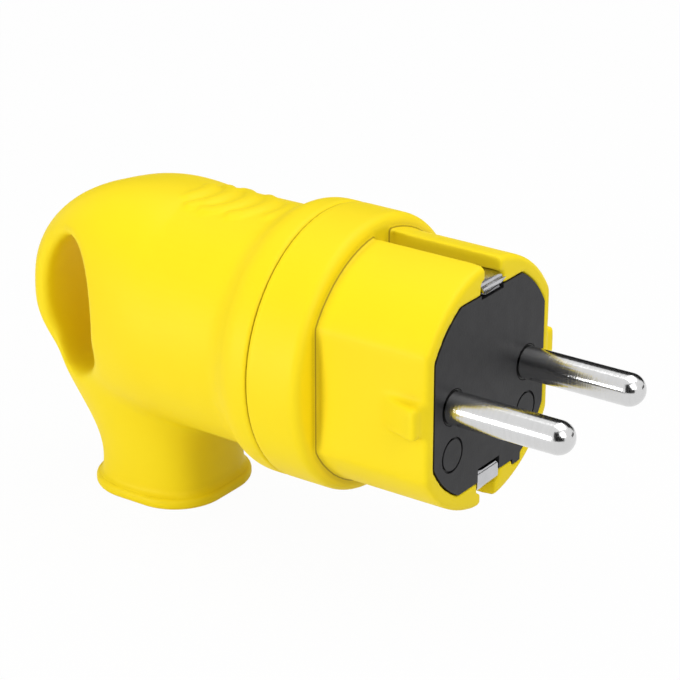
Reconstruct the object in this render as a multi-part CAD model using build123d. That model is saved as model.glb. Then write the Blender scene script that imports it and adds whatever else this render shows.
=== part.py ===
from build123d import *
import os

# Angled earthed mains plug: a rubber nose and hood round a black contact carrier.
# Frame: origin at the centre of the front face, +X out along the pins, +Z up, cable outlet down.

# Pins
PIN_DIAMETER = 4.8
PIN_SPACING = 19.0
PIN_LENGTH = 19.0
PIN_SHANK_DIAMETER = 5.2
PILLAR_DIAMETER = 6.4
PIN_SHOULDER_DEPTH = 9.0
TERMINAL_OVERHANG = 10.0
WIRE_HOLE_DIAMETER = 3.2
WIRE_HOLE_DEPTH = 9.0

# Front shell: round nose with two side flats, then a wider collar
NOSE_DIAMETER = 36.7
NOSE_FLATS = 31.7
NOSE_LENGTH = 18.5
NOSE_EDGE_RADIUS = 0.7
COLLAR_DIAMETER = 40.8
COLLAR_LENGTH = 8.8
COLLAR_EDGE_RADIUS = 1.5
SEAM_EDGE_RADIUS = 0.4
SHOULDER_THICKNESS = 2.0
SIDE_RIB_LENGTH = 7.2
SIDE_RIB_HEIGHT = 2.5
SIDE_RIB_WIDTH = 4.8
SIDE_RIB_SETBACK = 0.4

# Contact carrier
CARRIER_DIAMETER = 32.1
CARRIER_FLATS = 28.1
CARRIER_WALL = 2.0
FACE_PLATE_THICKNESS = 6.0
FLANGE_DIAMETER = 36.6
FLANGE_THICKNESS = 3.0
BOSS_WALL = 1.4
WEB_THICKNESS = 9.0
WITNESS_DIAMETER = 4.9
WITNESS_DROP = 7.2
WITNESS_GROOVE = 0.35
KEY_WIDTH = 2.0
KEY_HEIGHT = 0.8
KEY_OFFSET = 7.4

# Earth strip: one U-shaped strip with a contact at the top and one at the bottom
EARTH_SPAN = 32.0
EARTH_WIDTH = 5.4
EARTH_THICKNESS = 0.8
EARTH_BEND_RADIUS = 1.2
EARTH_SETBACK = 0.1
EARTH_TOP_TIP = 2.0
EARTH_BOTTOM_TIP = 3.5
EARTH_TIP_ROOM = 0.5
EARTH_SLOT_OPENING = 3.9

# Screws and clamps
TERMINAL_SCREW_DIAMETER = 3.5
EARTH_SCREW_DIAMETER = 4.0
EARTH_SCREW_LENGTH = 7.0
EARTH_PLATE_SIDE = 8.0
EARTH_PLATE_THICKNESS = 1.2
CLAMP_SCREW_DIAMETER = 3.5
CLAMP_SCREW_LENGTH = 8.0
CLAMP_SCREW_SPACING = 14.0
CLAMP_BAR_LENGTH = 6.0
CLAMP_BAR_THICKNESS = 3.4
CLAMP_DISTANCE = 17.5
CLAMP_DEPTH = 8.6
CLAMP_ARM_THICKNESS = 2.5
CLAMP_RAIL_WIDTH = 4.5
CLAMP_GAP_HEIGHT = 6.0
CABLE_DIAMETER = 9.0

# Rear hood: rim, flare, round body and the loop end, which narrows more in width than in height
RIM_LENGTH = 2.0
FLARE_LENGTH = 7.0
HOOD_DIAMETER = 36.2
HOOD_REAR_DIAMETER = 35.9
HOOD_WALL = 2.9
SPIGOT_WALL = 1.7
SNAP_BEAD_RADIUS = 0.6
CAVITY_END_RADIUS = 6.0
LOOP_FRONT_X = -50.0
LOOP_LENGTH = 26.7
LOOP_STATIONS = 6
LOOP_HEIGHT_REACH = 1.038
LOOP_HEIGHT_FULLNESS = 2.33
LOOP_WIDTH_REACH = 1.276
LOOP_WIDTH_FULLNESS = 1.51
LOOP_SQUARENESS = 0.82
LOOP_RISE = 0.85
LOOP_END_RADIUS = 1.8
FINGER_HOLE_LENGTH = 14.0
FINGER_HOLE_HEIGHT = 21.0
FINGER_HOLE_X = -66.0
FINGER_HOLE_Z = -0.1
FINGER_HOLE_EDGE_RADIUS = 1.4
RIM_WALL_SHARE = 0.35
LOOP_FRONT_WALL = 3.2

# Cable spout under the hood
SPOUT_X = -56.8
SPOUT_BOTTOM_Z = -30.3
SPOUT_SIDE = 19.8
SPOUT_SQUARENESS = 0.78
SPOUT_ROOT_Z = -6.6
SPOUT_ROOT_WIDTH = 29.2
SPOUT_STATIONS = 6
SPOUT_FLARE_POWER = 2.0
SPOUT_HEEL_START = 0.21
SPOUT_HEEL_REACH = 8.6
SPOUT_BEAD_SIDE = 21.7
SPOUT_BEAD_CORNER_RADIUS = 8.2
SPOUT_BEAD_HEIGHT = 1.9
SPOUT_BEAD_EDGE_RADIUS = 0.8
SPOUT_BORE_DIAMETER = 11.0
SPOUT_ELBOW_Z = -17.0
SPOUT_STEP = 0.3

# Grip ribs on the hood's top
GRIP_COUNT = 5
GRIP_PITCH = 3.7
GRIP_FRONT_X = -35.0
GRIP_HALF_SPAN = 5.1
GRIP_ARC_MARGIN = 0.3
GRIP_ARC_RADIUS = GRIP_HALF_SPAN + GRIP_ARC_MARGIN
GRIP_PATCH_HALF_PITCHES = 2.4
GRIP_WIDTH = 1.5
GRIP_HEIGHT = 0.35

# Fits
FIT_CLEARANCE = 0.1
THREAD_CLEARANCE = 0.05

# Stations along the plug's axis, from the face backwards
COLLAR_FRONT = -NOSE_LENGTH
SHOULDER_BACK = COLLAR_FRONT - SHOULDER_THICKNESS
FLANGE_BACK = SHOULDER_BACK - FLANGE_THICKNESS
SEAM = COLLAR_FRONT - COLLAR_LENGTH
TERMINAL_BACK = FLANGE_BACK - TERMINAL_OVERHANG
TERMINAL_SCREW_X = TERMINAL_BACK + WIRE_HOLE_DEPTH / 2
RIM_BACK = SEAM - RIM_LENGTH
FLARE_BACK = RIM_BACK - FLARE_LENGTH
CLAMP_X = FLANGE_BACK - CLAMP_DISTANCE

SPIGOT_RADIUS = FLANGE_DIAMETER / 2
SPIGOT_BORE_RADIUS = SPIGOT_RADIUS - SPIGOT_WALL
SPIGOT_SEAT_RADIUS = SPIGOT_RADIUS + FIT_CLEARANCE
SNAP_BEAD_X = (FLANGE_BACK + SEAM) / 2
EARTH_SLOT_WIDTH = EARTH_WIDTH + 2 * FIT_CLEARANCE
CLAMP_BED_Z = -CLAMP_DEPTH
CLAMP_SEAT_Z = CLAMP_BED_Z + CLAMP_GAP_HEIGHT
PIN_SIDES = {"line": -1, "neutral": 1}

# Squareness at which a soft section is an oval
ROUND_SQUARENESS = 0.5**0.5


def face_plane(x):
    """Cross-section plane at station x, with local axes Y and Z."""
    return Plane.YZ.offset(x)


def prism(outline, front, back):
    """Cross-section outline drawn along the axis between two stations."""
    return extrude(face_plane(back) * outline, front - back)


def disc(radius, front, back, y=0.0, z=0.0):
    """Round bar along the axis between two stations."""
    return prism(Pos(y, z) * Circle(radius), front, back)


def block(x, y, z):
    """Box between pairs of limits along X, Y and Z."""
    size = [abs(b - a) for a, b in (x, y, z)]
    centre = [(a + b) / 2 for a, b in (x, y, z)]
    return Pos(*centre) * Box(*size)


def upright(radius, x, y, bottom, top):
    """Round post parallel to Z."""
    return extrude(Plane.XY.offset(bottom) * Pos(x, y) * Circle(radius), top - bottom)


def carrier_outline(growth=0.0):
    """Round outline with four flats, as seen on the plug's face."""
    flats = CARRIER_FLATS + 2 * growth
    return Circle(CARRIER_DIAMETER / 2 + growth) & Rectangle(flats, flats)


def slotted_screw(diameter, length, head_diameter, head_height):
    """Cheese-head screw: the head's seat at Z = 0, the shank down -Z."""
    slot_width = head_diameter / 7
    slot_depth = head_height / 2
    screw = upright(diameter / 2, 0, 0, -length, 0)
    screw += upright(head_diameter / 2, 0, 0, 0, head_height)
    slot = Pos(0, 0, head_height) * Box(slot_width, 2 * head_diameter, 2 * slot_depth)
    return screw - slot


def pin(side):
    """Turned contact pin: round tip, shank in the face plate and pillar terminal behind."""
    y = side * PIN_SPACING / 2
    radius = PIN_DIAMETER / 2
    body = disc(radius, PIN_LENGTH - radius, 0, y)
    body += Pos(PIN_LENGTH - radius, y, 0) * Sphere(radius)
    body += disc(PIN_SHANK_DIAMETER / 2, 0, -PIN_SHOULDER_DEPTH, y)
    body += disc(PILLAR_DIAMETER / 2, -PIN_SHOULDER_DEPTH, TERMINAL_BACK, y)
    body -= disc(WIRE_HOLE_DIAMETER / 2, TERMINAL_BACK + WIRE_HOLE_DEPTH, TERMINAL_BACK, y)
    screw_hole_radius = TERMINAL_SCREW_DIAMETER / 2 + THREAD_CLEARANCE
    return body - upright(screw_hole_radius, TERMINAL_SCREW_X, y, 0, PILLAR_DIAMETER)


def terminal_screw(side):
    """Wire screw standing on top of one pin's pillar."""
    seat = PILLAR_DIAMETER / 2 + THREAD_CLEARANCE
    tip_above_axis = 0.2
    screw = slotted_screw(
        TERMINAL_SCREW_DIAMETER,
        seat - tip_above_axis,
        1.6 * TERMINAL_SCREW_DIAMETER,
        0.6 * TERMINAL_SCREW_DIAMETER,
    )
    return Pos(TERMINAL_SCREW_X, side * PIN_SPACING / 2, seat) * screw


def earth_strip():
    """Strip bent to a U round the carrier, its two front tips turned in to the face."""
    front = -EARTH_SETBACK
    length = front - FLANGE_BACK
    inner_bend = EARTH_BEND_RADIUS - EARTH_THICKNESS
    outer = RectangleRounded(length, EARTH_SPAN, EARTH_BEND_RADIUS)
    inner = RectangleRounded(
        length - 2 * EARTH_THICKNESS, EARTH_SPAN - 2 * EARTH_THICKNESS, inner_bend
    )
    ring = Plane.XZ * Pos((front + FLANGE_BACK) / 2, 0) * (outer - inner)
    strip = extrude(ring, EARTH_WIDTH / 2, both=True)
    mouth_top = EARTH_SPAN / 2 - EARTH_TOP_TIP
    mouth_bottom = -EARTH_SPAN / 2 + EARTH_BOTTOM_TIP
    strip -= block(
        (front - 2 * EARTH_THICKNESS, front + EARTH_THICKNESS),
        (-EARTH_WIDTH, EARTH_WIDTH),
        (mouth_bottom, mouth_top),
    )
    screw_hole = disc(EARTH_SCREW_DIAMETER / 2 + THREAD_CLEARANCE, 0, FLANGE_BACK)
    return strip - screw_hole


def earth_clamp_plate():
    """Square plate that presses the earth wire on the strip's back."""
    back = FLANGE_BACK - EARTH_PLATE_THICKNESS
    plate = prism(Rectangle(EARTH_PLATE_SIDE, EARTH_PLATE_SIDE), FLANGE_BACK, back)
    return plate - disc(EARTH_SCREW_DIAMETER / 2 + FIT_CLEARANCE, FLANGE_BACK, back)


def earth_terminal_screw():
    """Screw through the clamp plate into the strip, its head at the back."""
    screw = slotted_screw(
        EARTH_SCREW_DIAMETER,
        EARTH_SCREW_LENGTH,
        1.7 * EARTH_SCREW_DIAMETER,
        0.65 * EARTH_SCREW_DIAMETER,
    )
    return Pos(FLANGE_BACK - EARTH_PLATE_THICKNESS, 0, 0) * Rot(0, -90, 0) * screw


def clamp_arm():
    """Two rails behind the carrier's flange and the bed that the cable is clamped on."""
    half_width = CLAMP_SCREW_SPACING / 2 + CLAMP_RAIL_WIDTH / 2
    bed_back = CLAMP_X - CLAMP_BAR_LENGTH / 2
    bed_front = CLAMP_X + CLAMP_BAR_LENGTH / 2
    z = (CLAMP_BED_Z - CLAMP_ARM_THICKNESS, CLAMP_BED_Z)
    arm = block((bed_back, bed_front), (-half_width, half_width), z)
    for side in (-1, 1):
        y = side * CLAMP_SCREW_SPACING / 2
        half_rail = CLAMP_RAIL_WIDTH / 2
        arm += block((bed_back, FLANGE_BACK), (y - half_rail, y + half_rail), z)
        arm += upright(half_rail, CLAMP_X, y, CLAMP_BED_Z, CLAMP_SEAT_Z)
    return arm


def cable_clamp_bar():
    """Bar with an arch for the cable, resting on the two posts of the clamp's bed."""
    half_width = CLAMP_SCREW_SPACING / 2 + CLAMP_RAIL_WIDTH / 2
    half_length = CLAMP_BAR_LENGTH / 2
    bar = block(
        (CLAMP_X - half_length, CLAMP_X + half_length),
        (-half_width, half_width),
        (CLAMP_SEAT_Z, CLAMP_SEAT_Z + CLAMP_BAR_THICKNESS),
    )
    bar = fillet(bar.edges().filter_by(Axis.Z), CLAMP_BAR_LENGTH / 4)
    arch_z = CLAMP_SEAT_Z + CLAMP_BAR_THICKNESS / 2 - CABLE_DIAMETER / 2
    bar -= disc(CABLE_DIAMETER / 2, CLAMP_X + half_length, CLAMP_X - half_length, z=arch_z)
    for side in (-1, 1):
        y = side * CLAMP_SCREW_SPACING / 2
        hole_radius = CLAMP_SCREW_DIAMETER / 2 + FIT_CLEARANCE
        bar -= upright(hole_radius, CLAMP_X, y, CLAMP_SEAT_Z, CLAMP_SEAT_Z + CLAMP_BAR_THICKNESS)
    return bar


def clamp_screw(side):
    """One of the two screws that pull the clamp bar down."""
    screw = slotted_screw(
        CLAMP_SCREW_DIAMETER,
        CLAMP_SCREW_LENGTH,
        1.6 * CLAMP_SCREW_DIAMETER,
        0.6 * CLAMP_SCREW_DIAMETER,
    )
    seat = CLAMP_SEAT_Z + CLAMP_BAR_THICKNESS
    return Pos(CLAMP_X, side * CLAMP_SCREW_SPACING / 2, seat) * screw


def carrier_key(growth=0.0):
    """Small key at the carrier's lower far edge that sets its turn in the shell."""
    flat = CARRIER_FLATS / 2
    half_width = KEY_WIDTH / 2 + growth
    y = (KEY_OFFSET - half_width, KEY_OFFSET + half_width)
    return block((SHOULDER_BACK, 0), y, (-flat - KEY_HEIGHT - growth, -flat + KEY_HEIGHT))


def contact_carrier():
    """Moulded carrier: face plate, cored body with pin bosses, flange and cable clamp bed."""
    outline = carrier_outline()
    body = prism(outline, 0, SHOULDER_BACK)
    body += disc(FLANGE_DIAMETER / 2, SHOULDER_BACK, FLANGE_BACK)
    body += carrier_key()
    core = prism(carrier_outline(-CARRIER_WALL), -FACE_PLATE_THICKNESS, FLANGE_BACK)
    boss_radius = PILLAR_DIAMETER / 2 + BOSS_WALL
    inside = prism(outline, -FACE_PLATE_THICKNESS, FLANGE_BACK)
    kept = block(
        (FLANGE_BACK, -FACE_PLATE_THICKNESS),
        (-WEB_THICKNESS / 2, WEB_THICKNESS / 2),
        (-CARRIER_FLATS / 2, CARRIER_FLATS / 2),
    )
    for side in PIN_SIDES.values():
        y = side * PIN_SPACING / 2
        kept += disc(boss_radius, -FACE_PLATE_THICKNESS, FLANGE_BACK, y)
    body = body - core + (kept & inside)
    body += clamp_arm()

    # Bores for the pins, their pillars and the tip of the earth screw
    for side in PIN_SIDES.values():
        y = side * PIN_SPACING / 2
        body -= disc(PIN_SHANK_DIAMETER / 2 + FIT_CLEARANCE, 0, -PIN_SHOULDER_DEPTH, y)
        body -= disc(PILLAR_DIAMETER / 2 + FIT_CLEARANCE, -PIN_SHOULDER_DEPTH, FLANGE_BACK, y)
        screw_hole_radius = CLAMP_SCREW_DIAMETER / 2 + THREAD_CLEARANCE
        post_y = side * CLAMP_SCREW_SPACING / 2
        hole_bottom = CLAMP_BED_Z - CLAMP_ARM_THICKNESS
        body -= upright(screw_hole_radius, CLAMP_X, post_y, hole_bottom, CLAMP_SEAT_Z)
    body -= disc(EARTH_SCREW_DIAMETER / 2 + FIT_CLEARANCE, FLANGE_BACK + EARTH_SCREW_LENGTH, FLANGE_BACK)

    # Way of the earth strip: round the back, through the flange, and in at the face
    half_slot = EARTH_SLOT_WIDTH / 2
    span = EARTH_SPAN / 2
    inner_span = span - EARTH_BEND_RADIUS - FIT_CLEARANCE
    strip_front = FLANGE_BACK + EARTH_THICKNESS
    body -= block((FLANGE_BACK, strip_front), (-half_slot, half_slot), (-span, span))
    for side, tip in ((1, EARTH_TOP_TIP), (-1, EARTH_BOTTOM_TIP)):
        leg = (side * inner_span, side * FLANGE_DIAMETER)
        body -= block((FLANGE_BACK, 0), (-half_slot, half_slot), leg)
        notch = (side * (span - tip - EARTH_TIP_ROOM), side * span)
        notch_depth = EARTH_SETBACK + EARTH_THICKNESS + EARTH_TIP_ROOM
        body -= block((-notch_depth, 0), (-half_slot, half_slot), notch)

    # Round witness marks on the face, below the pins
    for side in PIN_SIDES.values():
        y = side * PIN_SPACING / 2
        ring = Circle(WITNESS_DIAMETER / 2 + WITNESS_GROOVE / 2)
        ring -= Circle(WITNESS_DIAMETER / 2 - WITNESS_GROOVE / 2)
        body -= prism(Pos(y, -WITNESS_DROP) * ring, 0, -WITNESS_GROOVE)
    return body


def side_rib(side):
    """Guide rib on one side flat of the nose, high in front and fading backwards."""
    flat = side * NOSE_FLATS / 2
    front = -SIDE_RIB_SETBACK
    back = front - SIDE_RIB_LENGTH
    root = flat - side * NOSE_EDGE_RADIUS
    wedge = Polyline(
        (back, root),
        (back, flat),
        (front - NOSE_EDGE_RADIUS, flat + side * SIDE_RIB_HEIGHT),
        (front, flat + side * (SIDE_RIB_HEIGHT - NOSE_EDGE_RADIUS)),
        (front - NOSE_EDGE_RADIUS, root),
        close=True,
    )
    return extrude(make_face(wedge), SIDE_RIB_WIDTH / 2, both=True)


def front_shell():
    """Rubber nose and collar, with the cavity of the carrier and the two earth slots."""
    nose_outline = Circle(NOSE_DIAMETER / 2) & Rectangle(NOSE_FLATS, NOSE_DIAMETER)
    nose = prism(nose_outline, 0, SEAM)
    nose = fillet(nose.faces().sort_by(Axis.X)[-1].edges(), NOSE_EDGE_RADIUS)
    collar = disc(COLLAR_DIAMETER / 2, COLLAR_FRONT, SEAM)
    collar = fillet(collar.edges().group_by(Axis.X)[-1], COLLAR_EDGE_RADIUS)
    collar = fillet(collar.edges().group_by(Axis.X)[0], SEAM_EDGE_RADIUS)
    shell = nose + collar
    for side in PIN_SIDES.values():
        shell += side_rib(side)
    shell -= prism(carrier_outline(FIT_CLEARANCE), 0, SHOULDER_BACK)
    shell -= carrier_key(FIT_CLEARANCE)
    shell -= disc(SPIGOT_SEAT_RADIUS, SHOULDER_BACK, SEAM)
    shell -= snap_bead(SPIGOT_SEAT_RADIUS)

    # Earth slots: narrow mouth outside, wider bed inside where the strip lies
    half_mouth = EARTH_SLOT_OPENING / 2
    half_bed = EARTH_SLOT_WIDTH / 2
    bed_top = EARTH_SPAN / 2 + FIT_CLEARANCE
    for side in (1, -1):
        shell -= block((COLLAR_FRONT, 0), (-half_mouth, half_mouth), (0, side * NOSE_DIAMETER))
        shell -= block((SHOULDER_BACK, 0), (-half_bed, half_bed), (0, side * bed_top))
    return shell


def snap_bead(radius):
    """Round bead on the hood's spigot that snaps in a groove of the collar."""
    ring = Plane.XZ * Pos(SNAP_BEAD_X, radius) * Circle(SNAP_BEAD_RADIUS)
    return revolve(ring, Axis.X)


def soft_section(plane, half_width, half_height, squareness):
    """Smooth closed outline between an oval and a rounded rectangle."""
    corner_width = squareness * half_width
    corner_height = squareness * half_height
    points = (
        (0, half_height),
        (-corner_width, corner_height),
        (-half_width, 0),
        (-corner_width, -corner_height),
        (0, -half_height),
        (corner_width, -corner_height),
        (half_width, 0),
        (corner_width, corner_height),
    )
    return plane * make_face(Spline(*points, periodic=True))


def hood_front():
    """Round front of the hood: rim, S-shaped flare and drafted body."""
    rim = COLLAR_DIAMETER / 2
    front = HOOD_DIAMETER / 2
    rear = HOOD_REAR_DIAMETER / 2
    edge = SEAM_EDGE_RADIUS
    mid_flare = (RIM_BACK + FLARE_BACK) / 2
    with BuildPart() as form:
        with BuildSketch(Plane.XZ):
            with BuildLine():
                Polyline((LOOP_FRONT_X, 0), (SEAM, 0), (SEAM, rim - edge))
                RadiusArc((SEAM, rim - edge), (SEAM - edge, rim), -edge)
                Line((SEAM - edge, rim), (RIM_BACK, rim))
                Bezier((RIM_BACK, rim), (mid_flare, rim), (mid_flare, front), (FLARE_BACK, front))
                Polyline((FLARE_BACK, front), (LOOP_FRONT_X, rear), (LOOP_FRONT_X, 0))
            make_face()
        revolve(axis=Axis.X)
    return form.part


def tapered(radius, share, reach, fullness):
    """Half size of the loop end at a share of its length."""
    return radius * (1 - (share / reach) ** fullness) ** (1 / fullness)


def loop_rise(share):
    """Height of the loop end's middle at a share of its length."""
    return LOOP_RISE * 4 * share * (1 - share)


def loop_wall():
    """Thinner of the loop end's walls above and below the finger hole."""
    share = (LOOP_FRONT_X - FINGER_HOLE_X) / LOOP_LENGTH
    radius = HOOD_REAR_DIAMETER / 2
    half_height = tapered(radius, share, LOOP_HEIGHT_REACH, LOOP_HEIGHT_FULLNESS)
    return half_height - abs(loop_rise(share) - FINGER_HOLE_Z) - FINGER_HOLE_HEIGHT / 2


def finger_hole(growth=0.0):
    """Oval way through the hood from side to side."""
    oval = Ellipse(FINGER_HOLE_LENGTH / 2 + growth, FINGER_HOLE_HEIGHT / 2 + growth)
    side = Plane.XZ.offset(-HOOD_DIAMETER)
    return extrude(side * Pos(FINGER_HOLE_X, FINGER_HOLE_Z) * oval, 2 * HOOD_DIAMETER)


def is_loop_rim(edge):
    """Whether an edge lies round one mouth of the finger hole."""
    oval = finger_hole(FIT_CLEARANCE).bounding_box()
    box = edge.bounding_box()
    within_x = box.min.X > oval.min.X and box.max.X < oval.max.X
    within_z = box.min.Z > oval.min.Z and box.max.Z < oval.max.Z
    return within_x and within_z and edge.geom_type != GeomType.LINE


def loop_end():
    """Rear end of the hood with the finger hole, its rims rounded."""
    radius = HOOD_REAR_DIAMETER / 2
    start = Plane(origin=(LOOP_FRONT_X, 0, 0), x_dir=(0, 0, 1), z_dir=(1, 0, 0))
    sections = [start * Circle(radius)]
    for station in range(1, LOOP_STATIONS + 1):
        share = station / LOOP_STATIONS
        half_width = tapered(radius, share, LOOP_WIDTH_REACH, LOOP_WIDTH_FULLNESS)
        half_height = tapered(radius, share, LOOP_HEIGHT_REACH, LOOP_HEIGHT_FULLNESS)
        squareness = ROUND_SQUARENESS + share * (LOOP_SQUARENESS - ROUND_SQUARENESS)
        plane = face_plane(LOOP_FRONT_X - share * LOOP_LENGTH) * Pos(0, loop_rise(share))
        sections.append(soft_section(plane, half_width, half_height, squareness))
    end = loft(sections)
    end = fillet(end.edges().group_by(Axis.X)[0], LOOP_END_RADIUS)
    end -= finger_hole()
    rims = [edge for edge in end.edges() if is_loop_rim(edge)]
    return fillet(rims, min(FINGER_HOLE_EDGE_RADIUS, RIM_WALL_SHARE * loop_wall()))


def cable_spout():
    """Square spout with a bead at its mouth, flared to the sides and heeled out to the loop."""
    sections = []
    for station in range(SPOUT_STATIONS + 1):
        share = station / SPOUT_STATIONS
        z = SPOUT_BOTTOM_Z + share * (SPOUT_ROOT_Z - SPOUT_BOTTOM_Z)
        width = SPOUT_SIDE + (SPOUT_ROOT_WIDTH - SPOUT_SIDE) * share**SPOUT_FLARE_POWER
        rise = max(0, share - SPOUT_HEEL_START) / (1 - SPOUT_HEEL_START)
        heel = SPOUT_HEEL_REACH * rise**2 * (3 - 2 * rise)
        squareness = SPOUT_SQUARENESS + share * (ROUND_SQUARENESS - SPOUT_SQUARENESS)
        plane = Plane.XY.offset(z) * Pos(SPOUT_X - heel / 2, 0)
        sections.append(soft_section(plane, (SPOUT_SIDE + heel) / 2, width / 2, squareness))
    spout = loft(sections) - finger_hole(SPOUT_STEP)
    bead_outline = RectangleRounded(SPOUT_BEAD_SIDE, SPOUT_BEAD_SIDE, SPOUT_BEAD_CORNER_RADIUS)
    bead = extrude(Plane.XY.offset(SPOUT_BOTTOM_Z) * Pos(SPOUT_X, 0) * bead_outline, SPOUT_BEAD_HEIGHT)
    return spout + fillet(bead.edges().filter_by(Plane.XY), SPOUT_BEAD_EDGE_RADIUS)


def hood_cavity():
    """Wiring space inside the hood, open at the front."""
    bore = SPIGOT_BORE_RADIUS
    chamber = HOOD_REAR_DIAMETER / 2 - HOOD_WALL
    end = FINGER_HOLE_X + FINGER_HOLE_LENGTH / 2 + LOOP_FRONT_WALL
    corner = CAVITY_END_RADIUS
    with BuildPart() as space:
        with BuildSketch(Plane.XZ):
            with BuildLine():
                Polyline((end, 0), (FLANGE_BACK, 0), (FLANGE_BACK, bore), (RIM_BACK, bore))
                Polyline((RIM_BACK, bore), (FLARE_BACK, chamber), (end + corner, chamber))
                RadiusArc((end + corner, chamber), (end, chamber - corner), -corner)
                Line((end, chamber - corner), (end, 0))
            make_face()
        revolve(axis=Axis.X)
    return space.part


def cable_way():
    """Round bore up the spout, bent forwards into the wiring space."""
    radius = SPOUT_BORE_DIAMETER / 2
    elbow = (SPOUT_X, 0, SPOUT_ELBOW_Z)
    way = upright(radius, SPOUT_X, 0, SPOUT_BOTTOM_Z, SPOUT_ELBOW_Z)
    way += Pos(*elbow) * Sphere(radius)
    slope = Plane(origin=elbow, z_dir=(1, 0, 1))
    return way + extrude(slope * Circle(radius), SPOUT_BORE_DIAMETER)


def grip_rib(index):
    """One crescent of the grip pattern, counted from the front."""
    centre = (GRIP_COUNT - 1) / 2
    share = (index - centre) / GRIP_PATCH_HALF_PITCHES
    half_span = GRIP_HALF_SPAN * (1 - share**2) ** 0.5
    crest = GRIP_FRONT_X - index * GRIP_PITCH
    sag = GRIP_ARC_RADIUS - (GRIP_ARC_RADIUS**2 - half_span**2) ** 0.5
    arc = ThreePointArc((crest - sag, -half_span), (crest, 0), (crest - sag, half_span))
    band = extrude(SlotArc(arc, GRIP_WIDTH), HOOD_DIAMETER)
    return band & disc(HOOD_DIAMETER / 2 + GRIP_HEIGHT, 0, FINGER_HOLE_X)


def rear_hood():
    """Rubber hood: spigot and rim in front, finger loop behind, cable spout below."""
    hood = hood_front() + loop_end() + cable_spout()
    for index in range(GRIP_COUNT):
        hood += grip_rib(index)
    hood += disc(SPIGOT_RADIUS, SEAM, FLANGE_BACK)
    hood += snap_bead(SPIGOT_RADIUS)
    return hood - hood_cavity() - cable_way()


def write_parts():
    """Build every piece and write it to its own file."""
    pieces = {
        "rear_hood": rear_hood(),
        "front_shell": front_shell(),
        "contact_carrier": contact_carrier(),
        "earth_strip": earth_strip(),
        "earth_clamp_plate": earth_clamp_plate(),
        "earth_terminal_screw": earth_terminal_screw(),
        "cable_clamp_bar": cable_clamp_bar(),
    }
    for name, side in PIN_SIDES.items():
        pieces[name + "_pin"] = pin(side)
        pieces[name + "_terminal_screw"] = terminal_screw(side)
    for name, side in (("near", -1), ("far", 1)):
        pieces["cable_clamp_screw_" + name] = clamp_screw(side)
    os.makedirs("parts", exist_ok=True)
    for name, piece in pieces.items():
        export_step(piece, os.path.join("parts", name + ".step"))


if __name__ == "__main__":
    write_parts()
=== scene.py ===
"""Looks of an angled earthed mains plug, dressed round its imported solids."""

import logging
import math
from collections.abc import Callable
from dataclasses import dataclass
from enum import Enum
from typing import Any

import bmesh
import bpy
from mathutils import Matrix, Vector


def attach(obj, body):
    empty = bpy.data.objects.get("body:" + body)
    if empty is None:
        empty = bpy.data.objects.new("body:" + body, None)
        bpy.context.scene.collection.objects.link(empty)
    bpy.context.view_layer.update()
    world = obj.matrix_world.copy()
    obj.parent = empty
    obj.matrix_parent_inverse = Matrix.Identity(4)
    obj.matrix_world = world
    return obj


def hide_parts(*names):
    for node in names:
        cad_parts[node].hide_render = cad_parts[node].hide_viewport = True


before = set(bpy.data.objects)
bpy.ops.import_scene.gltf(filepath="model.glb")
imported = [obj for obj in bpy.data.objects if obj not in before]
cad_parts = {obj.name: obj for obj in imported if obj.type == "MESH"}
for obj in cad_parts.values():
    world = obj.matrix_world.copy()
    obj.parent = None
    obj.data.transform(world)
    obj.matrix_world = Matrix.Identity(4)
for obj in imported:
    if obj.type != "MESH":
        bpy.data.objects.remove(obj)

LOG = logging.getLogger("plug")
MM = 0.001
BODY = "root"
WHITE = (1.0, 1.0, 1.0, 1.0)

# Sockets of a Mix node that mixes colours
MIX_FACTOR, MIX_FIRST, MIX_SECOND, MIX_RESULT = 0, 6, 7, 2
# Octaves of the noise behind colour, and behind roughness and grain
COLOUR_DETAIL, SURFACE_DETAIL = 3.0, 2.0
# Openness of a surface at which the painted crease shade starts, and where it is
# darkest
CREASE_START, CREASE_END = 0.95, 0.4
CREASE_SAMPLES = 12
# Share of a full turn from the tangent round a pin to the stretch of its gleam
GLEAM_TURN = 0.25

# Distance within which the corners of a solid's loose triangles are one corner
MERGE_MM = 0.002
# Distance within which a corner lies on a face or an edge
TOUCH_MM = 0.02
# How far one round of smoothing moves a point towards its neighbours' middle
SMOOTH_SHARE = 0.5
BEAD_SMOOTH_DEG = 30
STRIP_FLAT_DEG = 1
STRIP_SHARP_DEG = 45
STRIP_SMOOTH_DEG = 35
STRIP_SEGMENTS = 6


class Piece(Enum):
    """CAD nodes of the plug by their names in the frame."""

    HOOD = "rear_hood"
    SHELL = "front_shell"
    CARRIER = "contact_carrier"
    EARTH_STRIP = "earth_strip"
    EARTH_PLATE = "earth_clamp_plate"
    EARTH_SCREW = "earth_terminal_screw"
    CLAMP_BAR = "cable_clamp_bar"
    LINE_PIN = "line_pin"
    NEUTRAL_PIN = "neutral_pin"
    LINE_SCREW = "line_terminal_screw"
    NEUTRAL_SCREW = "neutral_terminal_screw"
    CLAMP_SCREW_NEAR = "cable_clamp_screw_near"
    CLAMP_SCREW_FAR = "cable_clamp_screw_far"


def linear(colour: str) -> tuple[float, float, float, float]:
    """Turn an sRGB hex colour into linear light.

    Args:
        colour: Six hex digits after a hash sign.

    Returns:
        Red, green, blue and an alpha of one.
    """
    channels = [int(colour[start : start + 2], 16) / 255 for start in (1, 3, 5)]
    red, green, blue = (
        c / 12.92 if c <= 0.04045 else ((c + 0.055) / 1.055) ** 2.4 for c in channels
    )
    return (red, green, blue, 1.0)


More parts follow.
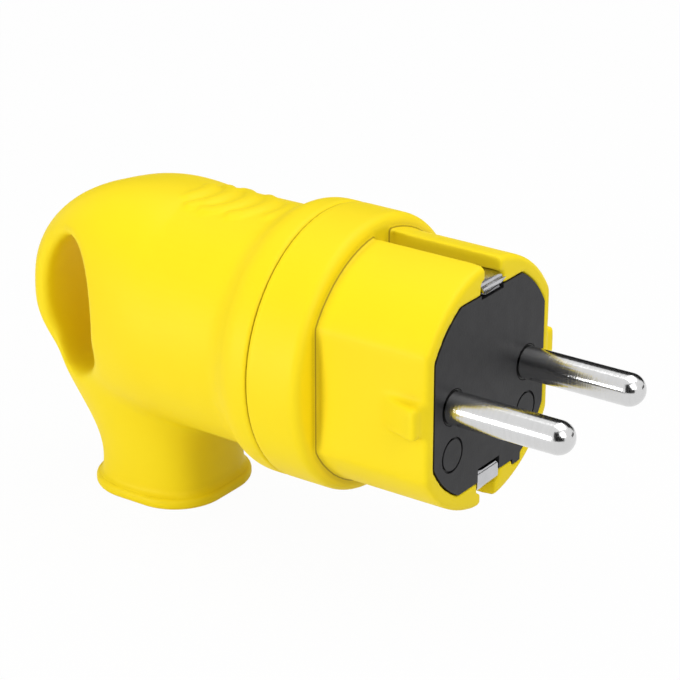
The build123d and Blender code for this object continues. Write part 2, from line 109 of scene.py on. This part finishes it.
def add_node(
    tree: bpy.types.NodeTree,
    kind: str,
    inputs: dict[str | int, Any] | None = None,
    **settings: Any,
) -> bpy.types.Node:
    """Add a shader node, set it up and link it.

    Args:
        tree: Node tree that takes the node.
        kind: Blender's type name of the node.
        inputs: Input's name or number to a value, or to an output that is linked to it.
        settings: Properties of the node itself.

    Returns:
        The new node.
    """
    node = tree.nodes.new(kind)
    for name, value in settings.items():
        setattr(node, name, value)
    for name, value in (inputs or {}).items():
        if isinstance(value, bpy.types.NodeSocket):
            tree.links.new(value, node.inputs[name])
        else:
            node.inputs[name].default_value = value
    return node


def per_metre(size_mm: float) -> float:
    """Texture scale at which one pattern cell is as wide as a size in millimetres."""
    return 1 / (size_mm * MM)


def smooth_step(value: float, low: float, high: float) -> float:
    """Rise from 0 at the low limit to 1 at the high one, with level ends.

    Args:
        value: Place between the limits.
        low: Place where the result is 0. It may be above the other limit.
        high: Place where the result is 1.

    Returns:
        The eased share.
    """
    share = min(1.0, max(0.0, (value - low) / (high - low)))
    return share * share * (3 - 2 * share)


@dataclass(frozen=True)
class Finish:
    """A material's name, colours and surface, in real sizes.

    The sizes with mottle, roughness and grain are widths of their patches, which the
    stretch makes narrower along an axis. A turned finish has gleams drawn out by its
    rings. The dark colour is painted shade: it lies in creases of a given reach, and in
    bands across the plug, each with its place along the pins and its reach to both
    sides.
    """

    name: str
    colour: str
    mottle_colour: str
    mottle_mm: float
    roughness: tuple[float, float]
    roughness_mm: float
    grain_mm: float
    grain_depth_mm: float
    metallic: float = 0.0
    ior: float = 1.5
    specular: float = 0.5
    turned: float = 0.0
    stretch: tuple[float, float, float] = (1.0, 1.0, 1.0)
    # Painted shade: a dark colour mixed into creases and into bands along the x axis
    painted_shade_colour: str = "#000000"
    painted_crease_shade_mm: float = 0.0
    painted_shade_bands_mm: tuple[tuple[float, float], ...] = ()

    def material(self) -> bpy.types.Material:
        """Build the node material.

        Returns:
            A material with mottled colour, uneven roughness and surface grain.
        """
        material = bpy.data.materials.new(self.name)
        material.use_nodes = True
        tree = material.node_tree
        shader = tree.nodes["Principled BSDF"]
        shader.inputs["Metallic"].default_value = self.metallic
        shader.inputs["IOR"].default_value = self.ior
        shader.inputs["Specular IOR Level"].default_value = self.specular
        if self.turned:
            shader.inputs["Anisotropic"].default_value = self.turned
            shader.inputs["Anisotropic Rotation"].default_value = GLEAM_TURN
            around = add_node(
                tree, "ShaderNodeTangent", direction_type="RADIAL", axis="X"
            ).outputs["Tangent"]
            tree.links.new(around, shader.inputs["Tangent"])

        position = add_node(tree, "ShaderNodeTexCoord").outputs["Object"]
        place = add_node(
            tree, "ShaderNodeMapping", {"Vector": position, "Scale": self.stretch}
        ).outputs["Vector"]
        mottle, patches, grain = (
            add_node(
                tree,
                "ShaderNodeTexNoise",
                {"Vector": place, "Scale": per_metre(size_mm), "Detail": detail},
            ).outputs["Fac"]
            for size_mm, detail in (
                (self.mottle_mm, COLOUR_DETAIL),
                (self.roughness_mm, SURFACE_DETAIL),
                (self.grain_mm, SURFACE_DETAIL),
            )
        )

        colour = linear(self.colour)
        shades = self.shades(tree, position)
        for share, other in (
            (mottle, self.mottle_colour),
            *((shade, self.painted_shade_colour) for shade in shades),
        ):
            colour = add_node(
                tree,
                "ShaderNodeMix",
                {MIX_FACTOR: share, MIX_FIRST: colour, MIX_SECOND: linear(other)},
                data_type="RGBA",
            ).outputs[MIX_RESULT]
        tree.links.new(colour, shader.inputs["Base Color"])

        smoothest, roughest = self.roughness
        roughness = add_node(
            tree,
            "ShaderNodeMapRange",
            {"Value": patches, "To Min": smoothest, "To Max": roughest},
        ).outputs["Result"]
        tree.links.new(roughness, shader.inputs["Roughness"])
        bump = add_node(
            tree,
            "ShaderNodeBump",
            {"Height": grain, "Distance": self.grain_depth_mm * MM, "Strength": 1.0},
        ).outputs["Normal"]
        tree.links.new(bump, shader.inputs["Normal"])
        return material

    def shades(
        self, tree: bpy.types.NodeTree, position: bpy.types.NodeSocket
    ) -> list[bpy.types.NodeSocket]:
        """Add the shares of the painted shade colour in creases and in bands across the
        plug.

        Args:
            tree: Node tree that takes the nodes.
            position: Output with Object coordinates.

        Returns:
            Outputs that are 1 in the dark and 0 outside it.
        """
        shares = []
        # Painted shade: ambient occlusion darkens the base colour in creases
        if self.painted_crease_shade_mm:
            openness = add_node(
                tree,
                "ShaderNodeAmbientOcclusion",
                {"Distance": self.painted_crease_shade_mm * MM},
                samples=CREASE_SAMPLES,
                only_local=True,
            ).outputs["AO"]
            shares.append((openness, CREASE_START, CREASE_END))
        # Painted shade: bands across the x axis darken the base colour
        for place, reach in self.painted_shade_bands_mm:
            along = add_node(
                tree, "ShaderNodeSeparateXYZ", {"Vector": position}
            ).outputs["X"]
            offset = add_node(
                tree, "ShaderNodeMath", {0: along, 1: place * MM}, operation="SUBTRACT"
            ).outputs["Value"]
            distance = add_node(
                tree, "ShaderNodeMath", {0: offset}, operation="ABSOLUTE"
            ).outputs["Value"]
            shares.append((distance, reach * MM, 0.0))
        return [
            add_node(
                tree,
                "ShaderNodeMapRange",
                {"Value": value, "From Min": light, "From Max": dark},
                interpolation_type="SMOOTHSTEP",
            ).outputs["Result"]
            for value, light, dark in shares
        ]


# Thermoplastic rubber from a fine-blasted mould: full yellow with a broad, soft sheen.
# Its grain is drawn coarser than the real one, so that it shows. Painted shade darkens
# its creases, such as the seam between hood and collar and the nose's foot.
MOULDED_RUBBER = Finish(
    name="yellow_moulded_rubber",
    colour="#FBE116",
    mottle_colour="#F9DC10",
    mottle_mm=14.0,
    roughness=(0.50, 0.60),
    roughness_mm=5.0,
    grain_mm=0.45,
    grain_depth_mm=0.012,
    specular=0.22,
    # Painted shade: dark olive in creases, at the hood-collar seam and at the nose's
    # foot
    painted_shade_colour="#A08400",
    painted_crease_shade_mm=2.0,
    painted_shade_bands_mm=((-27.3, 0.22), (-18.33, 0.14)),
)

# Glass-filled polyamide from an eroded mould: dark grey, with a fine matt grain.
GREY_POLYAMIDE = Finish(
    name="grey_moulded_polyamide",
    colour="#252527",
    mottle_colour="#202022",
    mottle_mm=6.0,
    roughness=(0.46, 0.58),
    roughness_mm=2.0,
    grain_mm=0.35,
    grain_depth_mm=0.02,
    ior=1.53,
    specular=0.3,
)

# Bright nickel plate on turned brass: a mirror with faint marks round the pin,
# and a painted shade ring at its foot, where it enters the carrier.
TURNED_NICKEL = Finish(
    name="nickel_plated_brass",
    colour="#DADADA",
    mottle_colour="#CECECE",
    mottle_mm=3.0,
    roughness=(0.14, 0.20),
    roughness_mm=1.2,
    grain_mm=1.6,
    grain_depth_mm=0.012,
    metallic=1.0,
    turned=0.3,
    stretch=(6.0, 0.4, 0.4),
    # Painted shade: a dark ring round the pin's foot at x = 0
    painted_shade_colour="#1C1C1C",
    painted_shade_bands_mm=((0.0, 0.25),),
)

# Nickel plate on rolled spring strip: a softer mirror with lines along the strip.
ROLLED_NICKEL = Finish(
    name="nickel_plated_spring_strip",
    colour="#C8C8CA",
    mottle_colour="#B8B8BA",
    mottle_mm=2.0,
    roughness=(0.16, 0.26),
    roughness_mm=1.0,
    grain_mm=0.4,
    grain_depth_mm=0.002,
    metallic=1.0,
    stretch=(0.3, 1.0, 1.0),
)

# Zinc-plated steel of screws and plates: bluish grey, dull from the bath.
ZINC_STEEL = Finish(
    name="zinc_plated_steel",
    colour="#B4B9BF",
    mottle_colour="#A3A8AE",
    mottle_mm=1.5,
    roughness=(0.28, 0.42),
    roughness_mm=0.8,
    grain_mm=0.3,
    grain_depth_mm=0.004,
    metallic=1.0,
)


def select_only(obj: bpy.types.Object) -> None:
    """Make one object active and the only selected one.

    Args:
        obj: The object.
    """
    bpy.ops.object.select_all(action="DESELECT")
    obj.select_set(True)
    bpy.context.view_layer.objects.active = obj


def apply_modifier(obj: bpy.types.Object, kind: str, **settings: Any) -> None:
    """Add a modifier and apply it at once.

    Args:
        obj: Mesh object.
        kind: Blender's type name of the modifier.
        settings: Properties of the modifier.
    """
    modifier = obj.modifiers.new(kind.lower(), kind)
    for name, value in settings.items():
        setattr(modifier, name, value)
    select_only(obj)
    bpy.ops.object.modifier_apply(modifier=modifier.name)


def copy_of_solid(piece: Piece, name: str) -> bpy.types.Object:
    """Copy a solid's mesh and merge its loose triangles.

    Args:
        piece: The solid.
        name: Name of the copy.

    Returns:
        The copy, the only object selected.
    """
    copy = bpy.data.objects.new(name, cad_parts[piece.value].data.copy())
    bpy.context.scene.collection.objects.link(copy)
    select_only(copy)
    bpy.ops.object.mode_set(mode="EDIT")
    bpy.ops.mesh.select_all(action="SELECT")
    bpy.ops.mesh.remove_doubles(threshold=MERGE_MM * MM)
    bpy.ops.object.mode_set(mode="OBJECT")
    return copy


def keep_side(copy: bpy.types.Object, height_mm: float, above: bool) -> None:
    """Cut a copy of a solid level and close the cut round its bore.

    Args:
        copy: The copy.
        height_mm: Height of the cut.
        above: Whether the upper side is kept.
    """
    select_only(copy)
    bpy.ops.object.mode_set(mode="EDIT")
    bpy.ops.mesh.select_all(action="SELECT")
    bpy.ops.mesh.bisect(
        plane_co=(0.0, 0.0, height_mm * MM),
        plane_no=(0.0, 0.0, 1.0),
        use_fill=True,
        clear_inner=above,
        clear_outer=not above,
    )
    # The fill also lays a disc over the bore, on edges that then have three faces.
    bpy.ops.mesh.select_mode(type="EDGE")
    bpy.ops.mesh.select_all(action="DESELECT")
    bpy.ops.mesh.select_non_manifold(
        use_wire=False, use_boundary=False, use_non_contiguous=False, use_verts=False
    )
    bpy.ops.mesh.select_mode(type="FACE")
    bpy.ops.mesh.delete(type="ONLY_FACE")
    bpy.ops.object.mode_set(mode="OBJECT")


def round_edges(
    obj: bpy.types.Object, chosen: Callable[[Vector], bool], radius_mm: float
) -> None:
    """Round the sharp edges whose two ends are chosen.

    Args:
        obj: Mesh object.
        chosen: Tells whether an end of an edge is chosen.
        radius_mm: Radius of the rounding.
    """
    select_only(obj)
    bpy.ops.object.mode_set(mode="EDIT")
    bpy.ops.mesh.select_mode(type="EDGE")
    bpy.ops.mesh.select_all(action="DESELECT")
    mesh = bmesh.from_edit_mesh(obj.data)
    for edge in mesh.edges:
        sharp = edge.calc_face_angle(0.0) > math.radians(STRIP_SHARP_DEG)
        edge.select_set(sharp and all(chosen(vertex.co) for vertex in edge.verts))
    bmesh.update_edit_mesh(obj.data)
    bpy.ops.mesh.bevel(offset=radius_mm * MM, segments=STRIP_SEGMENTS, affect="EDGES")
    bpy.ops.object.mode_set(mode="OBJECT")


def stand_in(obj: bpy.types.Object, piece: Piece) -> None:
    """Let a finished mesh stand for a solid.

    Args:
        obj: The mesh.
        piece: The solid.
    """
    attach(obj, BODY)
    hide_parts(piece.value)


@dataclass(frozen=True)
class SubAssembly:
    """Pieces that share a finish."""

    finish: Finish

    def build(self) -> list[bpy.types.Object]:
        """Model the pieces, which each kind of sub-assembly does in its own way."""
        raise NotImplementedError

    def dress(self, shown: list[bpy.types.Object]) -> None:
        """Give the pieces their finish.

        Args:
            shown: The pieces.
        """
        material = self.finish.material()
        for piece in shown:
            piece.data.materials.clear()
            piece.data.materials.append(material)
            LOG.info("%s is %s", piece.name, self.finish.name)


@dataclass(frozen=True)
class Solids(SubAssembly):
    """Pieces that are shown as their solids."""

    pieces: tuple[Piece, ...]

    def build(self) -> list[bpy.types.Object]:
        """The pieces' own CAD nodes."""
        return [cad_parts[piece.value] for piece in self.pieces]


@dataclass(frozen=True)
class Blend:
    """A region of a skin that is smoothed.

    Each fade names a direction, and the places on it where the weight is 0 and 1.
    """

    rounds: int
    fades_mm: tuple[tuple[str, float, float], ...]

    def weight(self, point: Vector) -> float:
        """How much a point of the skin is smoothed.

        Args:
            point: Place in the frame, in metres.

        Returns:
            A share that is 1 inside the region and fades to 0 at its limits.
        """
        x, y, z = point / MM
        places = {"x": x, "z": z, "side": abs(y), "height": abs(z)}
        return math.prod(
            smooth_step(places[axis], low, high) for axis, low, high in self.fades_mm
        )

    def soften(self, skin: bpy.types.Object) -> None:
        """Smooth the region.

        Args:
            skin: The skin's object.
        """
        group = skin.vertex_groups.new(name="blend")
        for vertex in skin.data.vertices:
            group.add([vertex.index], self.weight(vertex.co), "REPLACE")
        apply_modifier(
            skin,
            "SMOOTH",
            factor=SMOOTH_SHARE,
            iterations=self.rounds,
            vertex_group=group.name,
        )
        skin.vertex_groups.clear()


@dataclass(frozen=True)
class RubberSkin:
    """Soft skin of a moulded rubber piece, made from a copy of its solid.

    Below the crisp height the solid's own form is kept, and the skin reaches into it
    by the overlap.
    """

    name: str
    piece: Piece
    voxel_mm: float
    blends: tuple[Blend, ...]
    finish_rounds: int = 2
    crisp_below_mm: float | None = None
    crisp_overlap_mm: float = 0.8

    def build(self) -> bpy.types.Object:
        """Model the skin.

        Returns:
            The skin, which stands for the solid.
        """
        skin = copy_of_solid(self.piece, self.name)
        if self.crisp_below_mm is not None:
            keep_side(skin, self.crisp_below_mm - self.crisp_overlap_mm, above=True)
        apply_modifier(skin, "REMESH", mode="VOXEL", voxel_size=self.voxel_mm * MM)
        for blend in self.blends:
            blend.soften(skin)
        apply_modifier(
            skin, "SMOOTH", factor=SMOOTH_SHARE, iterations=self.finish_rounds
        )
        select_only(skin)
        bpy.ops.object.shade_smooth()
        if self.crisp_below_mm is not None:
            self.add_crisp_end(skin, self.crisp_below_mm)
        stand_in(skin, self.piece)
        return skin

    def add_crisp_end(self, skin: bpy.types.Object, height_mm: float) -> None:
        """Join the solid's own lower end to the skin.

        Args:
            skin: The skin's object.
            height_mm: Height below which the solid is kept.
        """
        end = copy_of_solid(self.piece, "crisp_end")
        keep_side(end, height_mm, above=False)
        bpy.ops.object.shade_smooth_by_angle(angle=math.radians(BEAD_SMOOTH_DEG))
        skin.select_set(True)
        bpy.context.view_layer.objects.active = skin
        bpy.ops.object.join()


# Where the spout and the loop's lower end flow into the hood's round body
SPOUT_ROOT = Blend(110, (("z", -2.0, -7.0), ("z", -27.5, -24.5), ("x", -43.0, -47.0)))
# Outer end of the finger loop
LOOP_END = Blend(45, (("x", -69.0, -73.0),))
# Level top of the bead round the spout's mouth, which stays crisp
BEAD_TOP_MM = -28.35
# Edges of the nose's side flats
FLAT_EDGES = Blend(
    45,
    (
        ("side", 11.5, 13.0),
        ("height", 4.0, 5.5),
        ("x", -18.2, -17.0),
        ("x", -0.4, -1.6),
    ),
)
# Guide ribs on the side flats
GUIDE_RIBS = Blend(16, (("side", 14.8, 15.4), ("height", 4.5, 3.5), ("x", -10.0, -8.5)))
# Front edge of the nose, round the face plate
FRONT_EDGE = Blend(10, (("x", -2.2, -1.0),))


@dataclass(frozen=True)
class RubberBody(SubAssembly):
    """Rubber hood and nose, each with a soft skin."""

    skins: tuple[RubberSkin, ...] = (
        RubberSkin(
            name="rubber_hood",
            piece=Piece.HOOD,
            voxel_mm=0.42,
            blends=(SPOUT_ROOT, LOOP_END),
            crisp_below_mm=BEAD_TOP_MM,
        ),
        RubberSkin(
            name="rubber_nose",
            piece=Piece.SHELL,
            voxel_mm=0.33,
            blends=(FLAT_EDGES, GUIDE_RIBS, FRONT_EDGE),
        ),
    )

    def build(self) -> list[bpy.types.Object]:
        """Model both skins."""
        return [skin.build() for skin in self.skins]


@dataclass(frozen=True)
class EarthContact(SubAssembly):
    """Earth strip whose two tips have rounded ends, made from a copy of its solid."""

    piece: Piece = Piece.EARTH_STRIP
    front_mm: float = -0.1
    half_width_mm: float = 2.7
    ends_mm: tuple[float, float] = (14.0, -12.5)
    corner_radius_mm: float = 0.9
    edge_radius_mm: float = 0.55

    def build(self) -> list[bpy.types.Object]:
        """Model the strip.

        Returns:
            The strip, which stands for the solid.
        """
        strip = copy_of_solid(self.piece, "spring_strip")
        bpy.ops.object.mode_set(mode="EDIT")
        bpy.ops.mesh.dissolve_limited(angle_limit=math.radians(STRIP_FLAT_DEG))
        bpy.ops.object.mode_set(mode="OBJECT")
        round_edges(strip, self.at_corner, self.corner_radius_mm)
        round_edges(strip, self.at_front, self.edge_radius_mm)
        bpy.ops.object.shade_smooth_by_angle(angle=math.radians(STRIP_SMOOTH_DEG))
        apply_modifier(strip, "WEIGHTED_NORMAL", keep_sharp=True)
        stand_in(strip, self.piece)
        return [strip]

    def from_end(self, height_mm: float) -> float:
        """Distance in millimetres from the nearer tip's end."""
        return min(abs(height_mm - end) for end in self.ends_mm)

    def at_corner(self, point: Vector) -> bool:
        """Tell whether a point is on a corner of a tip's end.

        Args:
            point: Place in the frame, in metres.

        Returns:
            True on a corner.
        """
        _, y, z = point / MM
        on_side = abs(abs(y) - self.half_width_mm) < TOUCH_MM
        return on_side and self.from_end(z) < TOUCH_MM

    def at_front(self, point: Vector) -> bool:
        """Tell whether a point is on the front edge of a tip's end.

        Args:
            point: Place in the frame, in metres.

        Returns:
            True on the front edge.
        """
        x, _, z = point / MM
        on_front = abs(x - self.front_mm) < TOUCH_MM
        return on_front and self.from_end(z) < self.corner_radius_mm + TOUCH_MM


ASSEMBLIES: tuple[SubAssembly, ...] = (
    RubberBody(MOULDED_RUBBER),
    Solids(GREY_POLYAMIDE, (Piece.CARRIER, Piece.CLAMP_BAR)),
    Solids(TURNED_NICKEL, (Piece.LINE_PIN, Piece.NEUTRAL_PIN)),
    EarthContact(ROLLED_NICKEL),
    Solids(
        ZINC_STEEL,
        (
            Piece.EARTH_PLATE,
            Piece.EARTH_SCREW,
            Piece.LINE_SCREW,
            Piece.NEUTRAL_SCREW,
            Piece.CLAMP_SCREW_NEAR,
            Piece.CLAMP_SCREW_FAR,
        ),
    ),
)


@dataclass(frozen=True)
class Softbox:
    """A soft lamp that faces the plug."""

    name: str
    place_mm: tuple[float, float, float]
    side_mm: float
    watts: float

    def build(self, aim: Vector) -> None:
        """Hang the lamp and turn it to the plug.

        Args:
            aim: Point that the lamp faces, in metres.
        """
        data = bpy.data.lights.new(self.name, "AREA")
        data.shape = "SQUARE"
        data.size = self.side_mm * MM
        data.energy = self.watts
        lamp = bpy.data.objects.new(self.name, data)
        lamp.location = Vector(self.place_mm) * MM
        lamp.rotation_euler = (lamp.location - aim).to_track_quat("Z", "Y").to_euler()
        bpy.context.scene.collection.objects.link(lamp)


@dataclass(frozen=True)
class DarkCard:
    """A dark card that faces the plug and that only reflections show."""

    name: str
    place_mm: tuple[float, float, float]
    size_mm: tuple[float, float]

    def build(self, material: bpy.types.Material) -> None:
        """Stand the card.

        Args:
            material: The card's paper.
        """
        bpy.ops.mesh.primitive_plane_add(size=1.0)
        card = bpy.context.object
        card.name = self.name
        card.scale = (self.size_mm[0] * MM, self.size_mm[1] * MM, 1.0)
        card.location = Vector(self.place_mm) * MM
        card.rotation_euler = card.location.to_track_quat("Z", "Y").to_euler()
        card.visible_camera = False
        card.visible_diffuse = False
        card.visible_shadow = False
        card.data.materials.append(material)


def seen_directly(tree: bpy.types.NodeTree) -> bpy.types.NodeSocket:
    """Add a factor that is 1 for rays which show the background itself.

    Args:
        tree: Node tree that takes the nodes.

    Returns:
        Output that is 1 for camera, glossy and transmission rays, and otherwise 0.
    """
    path = add_node(tree, "ShaderNodeLightPath")
    seen = path.outputs["Is Camera Ray"]
    for name in ("Is Glossy Ray", "Is Transmission Ray"):
        seen = add_node(
            tree,
            "ShaderNodeMath",
            {0: seen, 1: path.outputs[name]},
            operation="MAXIMUM",
        ).outputs["Value"]
    return seen


@dataclass(frozen=True)
class Studio:
    """Pale floor, soft lamps, dark cards for the metal and the camera."""

    floor_z_mm: float = -30.4
    floor_side_mm: float = 4000.0
    floor_colour: str = "#E2E2E2"
    floor_whiteness: float = 0.97
    ambient: float = 0.36
    card_colour: str = "#101010"
    cards: tuple[DarkCard, ...] = (
        DarkCard("back_card", (-180.0, 410.0, 190.0), (880.0, 460.0)),
        DarkCard("side_card", (410.0, 480.0, 40.0), (320.0, 110.0)),
        DarkCard("camera_card", (330.0, -470.0, 250.0), (820.0, 900.0)),
    )
    lamps: tuple[Softbox, ...] = (
        Softbox("top_softbox", (40.0, 150.0, 640.0), 560.0, 2.7),
        Softbox("front_softbox", (430.0, -230.0, 380.0), 380.0, 1.25),
        Softbox("low_softbox", (-230.0, -480.0, 50.0), 150.0, 1.12),
    )
    view_azimuth_deg: float = -54.799
    view_elevation_deg: float = 23.139
    view_distance_mm: float = 367.3
    aim_mm: tuple[float, float, float] = (-18.44, -10.07, 5.62)
    lens_mm: float = 140.3
    sensor_mm: float = 36.0
    clip_start_mm: float = 10.0

    def build(self) -> None:
        """Set up everything round the plug."""
        bpy.context.scene.view_settings.view_transform = "Standard"
        self.world()
        self.floor()
        self.dark_cards()
        for lamp in self.lamps:
            lamp.build(Vector(self.aim_mm) * MM)
        self.camera()

    def world(self) -> None:
        """Light all round, white where it is seen."""
        world = bpy.data.worlds.new("studio")
        world.use_nodes = True
        tree = world.node_tree
        strength = add_node(
            tree,
            "ShaderNodeMapRange",
            {"Value": seen_directly(tree), "To Min": self.ambient, "To Max": 1.0},
        ).outputs["Result"]
        background = tree.nodes["Background"]
        background.inputs["Color"].default_value = WHITE
        tree.links.new(strength, background.inputs["Strength"])
        bpy.context.scene.world = world

    def floor(self) -> None:
        """Lay the pale floor, nearly white to the eye, which keeps a faint shadow."""
        bpy.ops.mesh.primitive_plane_add(
            size=self.floor_side_mm * MM, location=(0, 0, self.floor_z_mm * MM)
        )
        floor = bpy.context.object
        floor.name = "floor"
        material = bpy.data.materials.new("pale_paper")
        material.use_nodes = True
        tree = material.node_tree
        tree.nodes.clear()
        paper = add_node(
            tree, "ShaderNodeBsdfDiffuse", {"Color": linear(self.floor_colour)}
        ).outputs["BSDF"]
        glow = add_node(
            tree, "ShaderNodeEmission", {"Color": WHITE, "Strength": 1.0}
        ).outputs["Emission"]
        share = add_node(
            tree,
            "ShaderNodeMath",
            {0: seen_directly(tree), 1: self.floor_whiteness},
            operation="MULTIPLY",
        ).outputs["Value"]
        mixed = add_node(
            tree, "ShaderNodeMixShader", {0: share, 1: paper, 2: glow}
        ).outputs["Shader"]
        add_node(tree, "ShaderNodeOutputMaterial", {"Surface": mixed})
        floor.data.materials.append(material)

    def dark_cards(self) -> None:
        """Stand the dark cards in black paper round the plug."""
        material = bpy.data.materials.new("black_paper")
        material.use_nodes = True
        shader = material.node_tree.nodes["Principled BSDF"]
        shader.inputs["Base Color"].default_value = linear(self.card_colour)
        shader.inputs["Roughness"].default_value = 1.0
        for card in self.cards:
            card.build(material)

    def camera(self) -> None:
        """Set the camera at the photographed view."""
        azimuth = math.radians(self.view_azimuth_deg)
        elevation = math.radians(self.view_elevation_deg)
        level = math.cos(elevation)
        back = Vector(
            (level * math.cos(azimuth), level * math.sin(azimuth), math.sin(elevation))
        )
        data = bpy.data.cameras.new("camera")
        data.lens = self.lens_mm
        data.sensor_width = self.sensor_mm
        data.clip_start = self.clip_start_mm * MM
        camera = bpy.data.objects.new("camera", data)
        camera.location = (Vector(self.aim_mm) + back * self.view_distance_mm) * MM
        camera.rotation_euler = back.to_track_quat("Z", "Y").to_euler()
        bpy.context.scene.collection.objects.link(camera)
        bpy.context.scene.camera = camera


def main() -> None:
    """Build and dress the sub-assemblies in order and report each piece."""
    logging.basicConfig(level=logging.INFO, format="%(name)s: %(message)s")
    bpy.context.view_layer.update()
    for assembly in ASSEMBLIES:
        assembly.dress(assembly.build())
    Studio().build()


if __name__ == "__main__":
    main()
